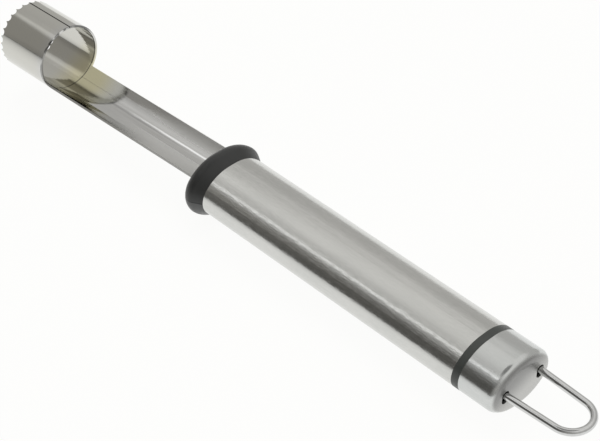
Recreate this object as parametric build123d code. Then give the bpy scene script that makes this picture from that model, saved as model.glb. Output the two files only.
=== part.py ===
from build123d import *
import math
import os

# Apple corer lying at rest on its flat side. Sizes in mm, read off the photo
# with the usual 20.5 mm cutting ring as the scale.
# The pieces are drawn in the handle's frame: X runs from the cutting ring to
# the hanging loop, X = 0 is the front end of the steel tube, Z is up.
# lay_down() then turns and shifts them all into the resting frame.

# Oval handle tube, pressed from a round one: a narrow flat on each broad side,
# wide arcs beside it, and a small arc at each end
handle_width = 22.0
handle_height = 15.2
end_arc_radius = 5.9
flat_width = 2.0
tube_length = 90.0
tube_wall = 0.6

# Rolled sheet blade: ring, trough and tang are one strip
sheet = 0.6
ring_diameter = 20.5
ring_length = 19.3
tooth_count = 28
tooth_depth = 0.9
scallop_radius = 1.05
seam_gap = 0.3
seam_angle = 8.0
trough_width = 15.7
tang_width = 12.0
tang_length = 21.0
blade_reach = 70.0
blade_drop = 0.5
blade_fall_angle = 2.75

# Black collar, which swells from the tube's oval to its belly
collar_length = 6.9
collar_swell = 1.85
collar_flare_length = 3.2
collar_belly_rounding = 2.4
collar_front_rounding = 3.0
collar_spigot_length = 25.0

# Black plug that joins tube, cap and loop; its flange shows as a thin band
band_thickness = 2.3
plug_front_length = 14.0
plug_rear_length = 10.0
plug_lead_in = 1.5

# Drawn steel cap, with an upright slot for each leg of the loop
cap_length = 11.2
cap_rounding = 2.4
cap_slot_width = 2.5
cap_slot_height = 4.0
cap_slot_drop = 0.65

# Wire loop
wire_diameter = 2.0
bend_radius = 5.75
loop_reach = 14.5
leg_depth = 14.5
leg_spread_angle = 2.5
loop_lift = 0.75

# Clearances, on each side
spigot_clearance = 0.05
slot_clearance = 0.08
wire_clearance = 0.05

# Length by which a cutter or a joined stretch runs past the face it meets
overrun = 1.0

ring_radius = ring_diameter / 2
cap_front_x = tube_length + band_thickness
cap_end_x = cap_front_x + cap_length
bend_centre_x = cap_end_x + loop_reach
leg_end_x = cap_end_x - leg_depth
blade_place = Location((0, 0, ring_radius - blade_drop), (0, -blade_fall_angle, 0))


def across(x):
    """Plane square to the handle axis, its own X along Y and its Y along Z."""
    return Plane(origin=(x, 0, 0), x_dir=(0, 1, 0), z_dir=(1, 0, 0))


def along_x(face, length):
    return extrude(face, amount=length, dir=(1, 0, 0))


def oval(x, grow=0.0):
    """The handle's oval at x, made larger all round by grow."""
    half_width, half_height = handle_width / 2 + grow, handle_height / 2 + grow
    half_flat, end_radius = flat_width / 2, end_arc_radius + grow
    end_centre = half_width - half_flat - end_radius
    wide_radius = (end_centre**2 + half_height**2 - end_radius**2) / (2 * (half_height - end_radius))
    lean = math.atan2(end_centre, wide_radius - half_height)

    def on_wide_arc(side, up, turn):
        """Point of one of the four wide arcs, by its turn from the flat."""
        y = half_flat + wide_radius * math.sin(turn)
        z = half_height - wide_radius * (1 - math.cos(turn))
        return side * y, up * z

    edges = []
    for side in (-1, 1):
        edges.append(ThreePointArc(
            on_wide_arc(side, -1, lean), (side * half_width, 0), on_wide_arc(side, 1, lean)
        ))
    for up in (-1, 1):
        edges.append(Line(on_wide_arc(-1, up, 0), on_wide_arc(1, up, 0)))
        for side in (-1, 1):
            edges.append(ThreePointArc(*(on_wide_arc(side, up, lean * share) for share in (0, 0.5, 1))))
    return across(x) * Face(Wire(edges))


def oval_bar(x_from, x_to, grow=0.0):
    """Solid bar with the handle's oval section."""
    return along_x(oval(x_from, grow), x_to - x_from)


def edges_at(solid, x):
    """Edges that lie across the handle at x."""
    return solid.edges().filter_by_position(Axis.X, x - 0.01, x + 0.01)


def arc_band(x_from, x_to, centre_angle, half_angle, grow=0.0):
    """Curved strip of the rolled sheet. Angles are measured from the top."""
    outer, inner = ring_radius + grow, ring_radius - sheet - grow

    def at(radius, angle):
        turn = math.radians(angle)
        return radius * math.sin(turn), radius * math.cos(turn)

    first, last = centre_angle - half_angle, centre_angle + half_angle
    outline = Wire([
        ThreePointArc(at(outer, first), at(outer, centre_angle), at(outer, last)),
        Line(at(outer, last), at(inner, last)),
        ThreePointArc(at(inner, last), at(inner, centre_angle), at(inner, first)),
        Line(at(inner, first), at(outer, first)),
    ])
    return along_x(across(x_from) * Face(outline), x_to - x_from)


def half_angle_of(width):
    """Half of the arc whose chord across the outside of the sheet is width."""
    return math.degrees(math.asin(width / 2 / ring_radius))


def serrated_ring():
    """Rolled ring with an open butt seam and a scalloped cutting edge."""
    front_x = -blade_reach - ring_length
    seam_half = math.degrees(seam_gap / 2 / ring_radius)
    ring = arc_band(front_x, -blade_reach, seam_angle + 180, 180 - seam_half)
    pitch = 360 / tooth_count
    scallop_x = front_x + tooth_depth - scallop_radius
    scallops = [
        Location((scallop_x, 0, 0), (-(seam_angle + (n + 0.5) * pitch), 0, 0))
        * Cylinder(scallop_radius, ring_diameter + overrun)
        for n in range(tooth_count // 2)
    ]
    return ring - scallops


def blade_strip(grow=0.0):
    """Trough and tang behind the ring; the tang's shoulder is at X = 0."""
    trough_half, tang_half = (half_angle_of(w + 2 * grow) for w in (trough_width, tang_width))
    trough = arc_band(-blade_reach - overrun, grow, 180, trough_half, grow)
    tang = arc_band(-overrun, tang_length + grow, 180, tang_half, grow)
    return trough + tang


def corer_blade():
    return blade_place * (serrated_ring() + blade_strip())


def front_collar():
    """Moulded collar with the spigot that fills the front of the tube."""
    body = oval_bar(-collar_length, 0, collar_swell)
    rear_face = body.faces().sort_by(Axis.X)[-1]
    body = chamfer(rear_face.edges(), collar_swell, collar_flare_length, reference=rear_face)
    body = fillet(edges_at(body, -collar_flare_length), collar_belly_rounding)
    body = fillet(edges_at(body, -collar_length), collar_front_rounding)
    spigot = oval_bar(-overrun, collar_spigot_length, -tube_wall - spigot_clearance)
    return body + spigot - blade_place * blade_strip(slot_clearance)


def handle_tube():
    return oval_bar(0, tube_length) - oval_bar(-overrun, tube_length + overrun, -tube_wall)


def leg_y(x):
    """Distance of a leg's axis from the middle plane at x."""
    lean = math.radians(leg_spread_angle)
    bend_start_x = bend_centre_x + bend_radius * math.sin(lean)
    return bend_radius * math.cos(lean) + (bend_start_x - x) * math.tan(lean)


def hanging_loop():
    """Bent wire: two legs that draw together a little, and a round bend."""
    touch_x = bend_centre_x + bend_radius * math.sin(math.radians(leg_spread_angle))
    near, far = (touch_x, -leg_y(touch_x)), (touch_x, leg_y(touch_x))
    path = Wire([
        Line((leg_end_x, -leg_y(leg_end_x)), near),
        ThreePointArc(near, (bend_centre_x + bend_radius, 0), far),
        Line(far, (leg_end_x, leg_y(leg_end_x))),
    ])
    start = Plane(origin=path @ 0, z_dir=path % 0)
    wire = sweep(start * Circle(wire_diameter / 2), path=path)
    return Location((0, 0, loop_lift)) * wire


def leg_bores():
    """Blind bores in the plug for the two legs, open at its rear."""
    start_x = leg_end_x - wire_clearance
    depth = cap_end_x - start_x
    middle_x = start_x + depth / 2
    return [
        Location((middle_x, side * leg_y(middle_x), loop_lift), (0, 0, -side * leg_spread_angle))
        * Rotation(0, 90, 0)
        * Cylinder(wire_diameter / 2 + wire_clearance, depth)
        for side in (-1, 1)
    ]


def rear_plug():
    """Plug whose flange is the black band between tube and cap."""
    plug_end_x = cap_front_x + plug_rear_length
    hidden = oval_bar(tube_length - plug_front_length, plug_end_x, -tube_wall - spigot_clearance)
    hidden = chamfer(edges_at(hidden, plug_end_x), plug_lead_in)
    return hidden + oval_bar(tube_length, cap_front_x) - leg_bores()


def leg_slots():
    """Cutters for the two upright slots in the end of the cap."""
    slot = SlotOverall(cap_slot_height, cap_slot_width, rotation=90)
    return [
        extrude(
            across(cap_end_x) * Location((side * leg_y(cap_end_x), loop_lift - cap_slot_drop)) * slot,
            amount=tube_wall + overrun,
            both=True,
        )
        for side in (-1, 1)
    ]


def end_cap():
    """Drawn cup with a rounded rim, slotted for the wire."""
    outside = oval_bar(cap_front_x, cap_end_x)
    outside = fillet(edges_at(outside, cap_end_x), cap_rounding)
    inside = oval_bar(cap_front_x - overrun, cap_end_x - tube_wall, -tube_wall)
    # The hidden inner corner is a bevel that touches the arc a wall inside the rounding
    inner_bevel = (2 - math.sqrt(2)) * (cap_rounding - tube_wall)
    inside = chamfer(edges_at(inside, cap_end_x - tube_wall), inner_bevel)
    return outside - inside - leg_slots()


def lay_down(pieces):
    """Rest collar belly and cap rim on Z = 0, with X = 0 at half the length."""
    belly_x = collar_front_rounding - collar_length
    rim_x = cap_end_x - cap_rounding
    slope = math.degrees(math.atan2(collar_swell, rim_x - belly_x))
    turned = {name: Rotation(0, slope, 0) * piece for name, piece in pieces.items()}
    boxes = [piece.bounding_box() for piece in turned.values()]
    front, rear = min(box.min.X for box in boxes), max(box.max.X for box in boxes)
    lowest = min(box.min.Z for box in boxes)
    shift = Location((-(front + rear) / 2, 0, -lowest))
    return {name: shift * piece for name, piece in turned.items()}


def build():
    return lay_down({
        "corer_blade": corer_blade(),
        "front_collar": front_collar(),
        "handle_tube": handle_tube(),
        "rear_plug": rear_plug(),
        "end_cap": end_cap(),
        "hanging_loop": hanging_loop(),
    })


os.makedirs("parts", exist_ok=True)
for node, solid in build().items():
    export_step(solid, f"parts/{node}.step")
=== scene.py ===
import bpy
import math
from mathutils import Matrix, Vector


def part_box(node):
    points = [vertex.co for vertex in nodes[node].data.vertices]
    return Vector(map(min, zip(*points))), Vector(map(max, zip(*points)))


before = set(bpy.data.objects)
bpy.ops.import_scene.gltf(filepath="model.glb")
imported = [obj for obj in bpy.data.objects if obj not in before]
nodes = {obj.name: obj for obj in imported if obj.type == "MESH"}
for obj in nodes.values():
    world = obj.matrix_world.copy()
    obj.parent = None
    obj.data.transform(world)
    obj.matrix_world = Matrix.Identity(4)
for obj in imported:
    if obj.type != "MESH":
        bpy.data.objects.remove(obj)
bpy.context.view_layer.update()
scene = bpy.context.scene


# Small helpers for node materials

class Tree:
    """Short way to write shader nodes."""

    def __init__(self, tree):
        self.tree = tree
        tree.nodes.clear()

    def add(self, kind, **values):
        node = self.tree.nodes.new(kind)
        for key, value in values.items():
            setattr(node, key, value)
        return node

    def link(self, start, end):
        self.tree.links.new(start, end)

    def feed(self, socket, value):
        """Links a socket, or sets the value of an unlinked one."""
        if hasattr(value, "is_output"):
            self.link(value, socket)
        else:
            socket.default_value = value

    def math(self, operation, a, b=0.0, c=0.0):
        node = self.add("ShaderNodeMath", operation=operation)
        for socket, value in zip(node.inputs, (a, b, c)):
            self.feed(socket, value)
        return node.outputs[0]

    def span(self, value, low, high, to_low=0.0, to_high=1.0, smooth=True):
        node = self.add("ShaderNodeMapRange", interpolation_type="SMOOTHSTEP" if smooth else "LINEAR")
        for socket, part in zip(node.inputs, (value, low, high, to_low, to_high)):
            self.feed(socket, part)
        return node.outputs[0]

    def noise(self, vector, scale, detail=2.0, roughness=0.5):
        node = self.add("ShaderNodeTexNoise")
        self.link(vector, node.inputs["Vector"])
        node.inputs["Scale"].default_value = scale
        node.inputs["Detail"].default_value = detail
        node.inputs["Roughness"].default_value = roughness
        return node.outputs["Fac"]

    def stretch(self, vector, scale, turn=(0, 0, 0), move=(0, 0, 0)):
        node = self.add("ShaderNodeMapping")
        self.link(vector, node.inputs["Vector"])
        node.inputs["Scale"].default_value = scale
        node.inputs["Rotation"].default_value = turn
        node.inputs["Location"].default_value = move
        return node.outputs[0]

    def ramp(self, value, stops):
        node = self.add("ShaderNodeValToRGB")
        self.feed(node.inputs["Fac"], value)
        points = node.color_ramp.elements
        while len(points) < len(stops):
            points.new(0.5)
        for point, (place, colour) in zip(points, stops):
            point.position = place
            point.color = (*colour, 1.0)
        return node.outputs["Color"]

    def split(self, vector):
        node = self.add("ShaderNodeSeparateXYZ")
        self.link(vector, node.inputs[0])
        return node.outputs

    def distance(self, vector, point):
        node = self.add("ShaderNodeVectorMath", operation="DISTANCE")
        self.link(vector, node.inputs[0])
        node.inputs[1].default_value = point
        return node.outputs["Value"]

    def mix(self, share, first, second):
        """Colours or numbers mixed by share."""
        node = self.add("ShaderNodeMix", data_type="RGBA")
        self.feed(node.inputs[0], share)
        for socket, value in ((node.inputs[6], first), (node.inputs[7], second)):
            self.feed(socket, (*value, 1.0) if isinstance(value, tuple) else value)
        return node.outputs[2]

    def bump(self, height, strength, distance, normal=None):
        node = self.add("ShaderNodeBump")
        self.link(height, node.inputs["Height"])
        node.inputs["Strength"].default_value = strength
        node.inputs["Distance"].default_value = distance
        if normal is not None:
            self.link(normal, node.inputs["Normal"])
        return node.outputs["Normal"]


def shader(name):
    """New material: its tree, its principled shader and the object coordinates."""
    material = bpy.data.materials.new(name)
    material.use_nodes = True
    tree = Tree(material.node_tree)
    surface = tree.add("ShaderNodeBsdfPrincipled")
    out = tree.add("ShaderNodeOutputMaterial")
    tree.link(surface.outputs[0], out.inputs["Surface"])
    place = tree.add("ShaderNodeTexCoord").outputs["Object"]
    return material, tree, surface.inputs, place


def wear(material, *names):
    for name in names:
        data = nodes[name].data
        data.materials.clear()
        data.materials.append(material)


# Places on the part, in metres and radians: X from ring to loop, Z up

HANDLE_SLOPE = math.radians(1.01)
HANDLE_AXIS_HEIGHT = 0.00907
BLADE_SLOPE = math.radians(-1.74)
BLADE_AXIS_HEIGHT = 0.01966
RING_REAR_X = -0.0878
SEAM_TURN = math.radians(8.0)
CAP_END_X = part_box("end_cap")[1][0]


def above_axis(tree, place, height, slope):
    """Height over a sloping axis that passes X = 0 at the given height."""
    x, y, z = tree.split(place)
    fall = tree.math("MULTIPLY_ADD", x, -math.tan(slope), height)
    return x, y, tree.math("SUBTRACT", z, fall)


def steel(name, slope, grain_size, dark, light, gloss, grain_height, wave_height):
    """Brushed steel: long fine grain, broad patches of tone and a slightly wavy surface."""
    material, tree, socket, place = shader(name)
    socket["Metallic"].default_value = 1.0
    along = tree.stretch(place, (1, 1, 1), turn=(0, -slope, 0))
    grain = tree.noise(tree.stretch(along, grain_size), 1.0, detail=3.0)
    patches = tree.noise(tree.stretch(along, (45, 150, 150)), 1.0, detail=2.0)
    waves = tree.noise(tree.stretch(along, (130, 220, 220)), 1.0, detail=1.5)
    tone = tree.math("ADD", tree.math("MULTIPLY", grain, 0.55), tree.math("MULTIPLY", patches, 0.45))
    colour = tree.ramp(tree.span(tone, 0.33, 0.67), [(0.0, dark), (1.0, light)])
    rough = tree.span(grain, 0.3, 0.7, *gloss)
    wavy = tree.bump(waves, 1.0, wave_height)
    tree.link(tree.bump(grain, 1.0, grain_height, wavy), socket["Normal"])
    return material, tree, socket, place, colour, rough


def handle_steel():
    material, tree, socket, place, colour, rough = steel(
        "brushed_handle_steel", HANDLE_SLOPE, (520, 2300, 2300),
        (0.595, 0.60, 0.58), (0.65, 0.65, 0.63), (0.15, 0.22), 0.000020, 0.000028)
    tree.link(colour, socket["Base Color"])
    tree.link(rough, socket["Roughness"])
    return material


def cap_steel():
    material, tree, socket, place, colour, rough = steel(
        "satin_cap_steel", HANDLE_SLOPE, (500, 2600, 2600),
        (0.58, 0.595, 0.585), (0.63, 0.64, 0.63), (0.15, 0.21), 0.000008, 0.00003)
    end_face = tree.span(tree.split(place)[0], CAP_END_X - 0.0011, CAP_END_X - 0.0004)
    x, y, z = above_axis(tree, place, HANDLE_AXIS_HEIGHT, HANDLE_SLOPE)
    # Painted shade: the end face's colour is darker toward its top and near side.
    painted_shade_rise = tree.span(tree.math("MULTIPLY_ADD", y, -0.35, z), -0.004, 0.0055)
    shade = tree.mix(painted_shade_rise, (0.54, 0.54, 0.525), (0.30, 0.30, 0.295))
    tree.link(tree.mix(end_face, colour, shade), socket["Base Color"])
    tree.link(tree.math("MULTIPLY_ADD", end_face, 0.22, rough), socket["Roughness"])
    return material


def blade_steel():
    """Polished sheet: dark butt seam; painted shade on the ring's rear rim, broken by painted highlight at its upper
    near side; yellow tint by the ring; a rougher finish on the far wall toward the collar, its colour painted lighter
    as painted light.
    """
    material, tree, socket, place, colour, rough = steel(
        "rolled_sheet_steel", BLADE_SLOPE, (120, 1800, 1800),
        (0.60, 0.60, 0.59), (0.64, 0.64, 0.63), (0.06, 0.10), 0.000006, 0.00002)
    x, y, z = above_axis(tree, place, BLADE_AXIS_HEIGHT, BLADE_SLOPE)
    turn = tree.math("ARCTAN2", y, z)
    off_seam = tree.math("ABSOLUTE", tree.math("SUBTRACT", turn, SEAM_TURN))
    on_ring = tree.math("LESS_THAN", x, RING_REAR_X + 0.0003)
    seam = tree.math("MULTIPLY", tree.span(off_seam, 0.017, 0.028, 1.0, 0.0), on_ring)
    # Painted shade: the ring's rear rim is painted dark, except broken patches on its upper near side left light as
    # painted highlight.
    rim = tree.span(tree.math("ABSOLUTE", tree.math("SUBTRACT", x, RING_REAR_X)), 0.0001, 0.00022, 1.0, 0.0)
    rim_highlight_breakup = tree.noise(tree.stretch(place, (900, 260, 260)), 1.0, detail=2.0)
    upper_near = tree.math("MULTIPLY", tree.span(turn, -1.5, -1.2), tree.span(turn, -0.2, 0.5, 1.0, 0.0))
    painted_rim_highlight = tree.math("MULTIPLY", tree.span(rim_highlight_breakup, 0.47, 0.55), upper_near)
    painted_rim_shade = tree.math("MULTIPLY", rim, tree.math("SUBTRACT", 1.0, painted_rim_highlight))
    seam_and_painted_rim_shade = tree.math("MAXIMUM", tree.math("MULTIPLY", seam, 0.85), tree.math("MULTIPLY", painted_rim_shade, 0.8))
    on_blank = tree.span(x, -0.092, -0.086)
    colour = tree.mix(on_blank, (0.605, 0.60, 0.56), colour)
    # A yellow tint inside the ring's rear part, fading out within about 13 mm.
    yellow_by_ring = tree.span(tree.distance(place, (-0.086, 0.004, 0.009)), 0.004, 0.013, 1.0, 0.0)
    tint_and_painted_light = tree.mix(yellow_by_ring, colour, (0.64, 0.605, 0.44))
    # On the far wall toward the collar: a rougher finish, with the colour painted lighter as painted light.
    far_wall = tree.span(turn, math.radians(158), math.radians(142))
    by_collar = tree.span(x, -0.070, -0.038)
    satin_and_painted_light = tree.math("MULTIPLY", far_wall, by_collar)
    tint_and_painted_light = tree.mix(satin_and_painted_light, tint_and_painted_light, (0.74, 0.74, 0.725))
    # Near black at the seam, a dark joint, and on the rear rim as painted shade.
    tree.link(tree.mix(seam_and_painted_rim_shade, tint_and_painted_light, (0.06, 0.06, 0.058)), socket["Base Color"])
    tree.link(tree.math("MULTIPLY_ADD", satin_and_painted_light, 0.50, rough), socket["Roughness"])
    return material


def wire_steel():
    material, tree, socket, place = shader("drawn_wire_steel")
    socket["Metallic"].default_value = 1.0
    grain = tree.noise(tree.stretch(place, (250, 1500, 1500)), 1.0, detail=2.0)
    tree.link(tree.ramp(grain, [(0.3, (0.60, 0.605, 0.60)), (0.7, (0.67, 0.675, 0.67))]), socket["Base Color"])
    tree.link(tree.span(grain, 0.3, 0.7, 0.06, 0.11), socket["Roughness"])
    tree.link(tree.bump(grain, 0.15, 0.00004), socket["Normal"])
    return material


def black_moulding(name, dark, light, parted):
    """Satin black plastic. A parted piece shows the fine line where its mould closed."""
    material, tree, socket, place = shader(name)
    fine = tree.noise(place, 2600.0, detail=3.0)
    broad = tree.noise(place, 160.0, detail=2.0)
    tone = tree.math("ADD", tree.math("MULTIPLY", fine, 0.4), tree.math("MULTIPLY", broad, 0.6))
    colour = tree.ramp(tone, [(0.3, dark), (0.7, light)])
    bumpy = tree.bump(fine, 0.25, 0.00004)
    if parted:
        x, y, z = above_axis(tree, place, HANDLE_AXIS_HEIGHT, HANDLE_SLOPE)
        line = tree.span(tree.math("ABSOLUTE", z), 0.0001, 0.00026, 1.0, 0.0)
        # Painted light: below the parting line the piece is painted lighter.
        painted_light_below = tree.span(z, -0.0002, 0.0)
        colour = tree.mix(painted_light_below, tuple(v * 2.4 for v in light), colour)
        colour = tree.mix(tree.math("MULTIPLY", line, 0.95), colour, (0.004, 0.004, 0.004))
        bumpy = tree.bump(line, -0.6, 0.0001, bumpy)
    tree.link(colour, socket["Base Color"])
    tree.link(tree.span(fine, 0.3, 0.7, 0.36, 0.46), socket["Roughness"])
    tree.link(bumpy, socket["Normal"])
    return material


wear(handle_steel(), "handle_tube")
wear(cap_steel(), "end_cap")
wear(blade_steel(), "corer_blade")
wear(wire_steel(), "hanging_loop")
wear(black_moulding("black_collar", (0.021, 0.0215, 0.021), (0.032, 0.033, 0.0325), True), "front_collar")
wear(black_moulding("black_band", (0.046, 0.051, 0.047), (0.066, 0.072, 0.067), False), "rear_plug")


# Floor, light and camera

FLOOR_GLOW = 0.945
FLOOR_FADE = 0.24


def pale_floor():
    """Pale glowing table. In reflections it fades toward the front, where the light falls off."""
    bpy.ops.mesh.primitive_plane_add(size=6.0, location=(0, 0, 0))
    floor = bpy.context.object
    floor.name = "floor"
    material, tree, socket, place = shader("pale_floor")
    cloud = tree.noise(place, 3.0)
    tree.link(tree.ramp(cloud, [(0.0, (0.05, 0.05, 0.05)), (1.0, (0.06, 0.06, 0.06))]), socket["Base Color"])
    socket["Roughness"].default_value = 0.9
    socket["Specular IOR Level"].default_value = 0.0
    socket["Emission Color"].default_value = (1.0, 1.0, 0.99, 1.0)
    x, y, z = tree.split(place)
    ahead = tree.math("MAXIMUM", tree.math("SUBTRACT", -0.03, y), 0.0)
    fade = tree.math("DIVIDE", FLOOR_FADE, tree.math("ADD", ahead, FLOOR_FADE))
    seen = tree.add("ShaderNodeLightPath").outputs["Is Camera Ray"]
    glow = tree.math("MAXIMUM", fade, seen)
    tree.link(tree.math("MULTIPLY", glow, FLOOR_GLOW), socket["Emission Strength"])
    floor.data.materials.append(material)


def studio_world():
    """Soft room: dark panels in front, a thin bright edge over them, pale walls, a dim top."""
    world = bpy.data.worlds.new("studio")
    scene.world = world
    world.use_nodes = True
    tree = Tree(world.node_tree)
    out = tree.add("ShaderNodeOutputWorld")
    glow = tree.add("ShaderNodeBackground")
    tree.link(glow.outputs[0], out.inputs["Surface"])
    x, y, z = tree.split(tree.add("ShaderNodeTexCoord").outputs["Generated"])
    bearing = tree.math("MULTIPLY", tree.math("ARCTAN2", x, y), 180 / math.pi)
    height = tree.math("MULTIPLY", tree.math("ARCSINE", z), 180 / math.pi)

    def tone(v, warm):
        return (v * (1 + warm), v, v * (1 - warm * 2))

    def around(value, start, full, still, end):
        """One between full and still, fading to nothing at start and end."""
        return tree.math("MULTIPLY", tree.span(value, start, full), tree.span(value, still, end, 1.0, 0.0))

    walls = [(-180, 0.12, 0.03), (-152, 0.10, 0.03), (-144, 0.13, 0.03), (-138, 0.17, 0.03), (-134, 0.33, 0.03),
             (-98, 0.34, 0.03), (-86, 0.51, 0.015), (-60, 0.55, 0.015), (100, 0.54, 0.01), (150, 0.34, 0.02),
             (180, 0.12, 0.03)]
    low = tree.ramp(tree.span(bearing, -180, 180, smooth=False),
                    [((place + 180) / 360, tone(v, warm)) for place, v, warm in walls])
    lean = tree.math("MULTIPLY", tree.math("ARCTAN2", z, tree.math("MULTIPLY", y, -1.0)), 180 / math.pi)
    slope = [(42, 0.15), (52, 0.36), (64, 0.57), (70, 0.62), (91, 0.82), (110, 0.85), (180, 0.85)]
    front_high = tree.ramp(tree.span(lean, 0, 180, smooth=False), [(place / 180, tone(v, 0.01)) for place, v in slope])
    front = tree.mix(tree.span(height, 39.5, 42.5), low, front_high)
    rise = tree.mix(tree.span(bearing, -60, -45), tree.span(height, 40, 56), tree.span(height, 30, 54))
    back = tree.mix(rise, low, tone(0.85, 0.01))
    ahead = tree.math("ADD", tree.span(bearing, -98, -86, 1.0, 0.0), tree.span(bearing, 100, 140))
    room = tree.mix(ahead, back, front)
    edge = tree.math("MULTIPLY", around(lean, 59.5, 61.5, 63.0, 65.5), tree.span(bearing, -122, -116, 1.0, 0.0))
    room = tree.mix(edge, room, tone(1.7, 0.0))
    room = tree.mix(tree.math("MULTIPLY", around(height, 46.5, 48.0, 51.0, 52.0), around(bearing, -86, -83, -79, -76)),
                    room, tone(1.4, 0.0))
    room = tree.mix(tree.math("MULTIPLY", around(height, 43.0, 44.0, 45.5, 47.0), around(bearing, -79, -76, -72, -68)),
                    room, tone(0.42, 0.01))
    room = tree.mix(tree.span(height, 69, 74), room, tone(0.28, 0.01))
    seen = tree.add("ShaderNodeLightPath").outputs["Is Camera Ray"]
    tree.link(tree.mix(seen, room, (0.95, 0.95, 0.945)), glow.inputs["Color"])


def soft_light(name, place, target, size, watts, seen=False):
    data = bpy.data.lights.new(name, "AREA")
    data.shape = "SQUARE"
    data.size = size
    data.energy = watts
    lamp = bpy.data.objects.new(name, data)
    scene.collection.objects.link(lamp)
    lamp.location = place
    lamp.rotation_euler = (Vector(target) - Vector(place)).to_track_quat("-Z", "Y").to_euler()
    lamp.visible_glossy = seen


def photo_camera():
    data = bpy.data.cameras.new("photo_camera")
    data.lens = 109.32
    data.sensor_width = 36.0
    data.clip_start = 0.01
    camera = bpy.data.objects.new("photo_camera", data)
    scene.collection.objects.link(camera)
    right = Vector((0.696702, 0.717324, -0.007272))
    up = Vector((-0.459234, 0.453773, 0.763672))
    back = right.cross(up)
    turn = Matrix((right, up, back)).transposed().to_4x4()
    camera.matrix_world = Matrix.Translation((0.27259, -0.25326, 0.32226)) @ turn
    scene.camera = camera


pale_floor()
studio_world()
soft_light("overhead", (-0.3, 0.5, 1.4), (0, 0, 0), 1.2, 6.0)
photo_camera()
scene.view_settings.view_transform = "Standard"
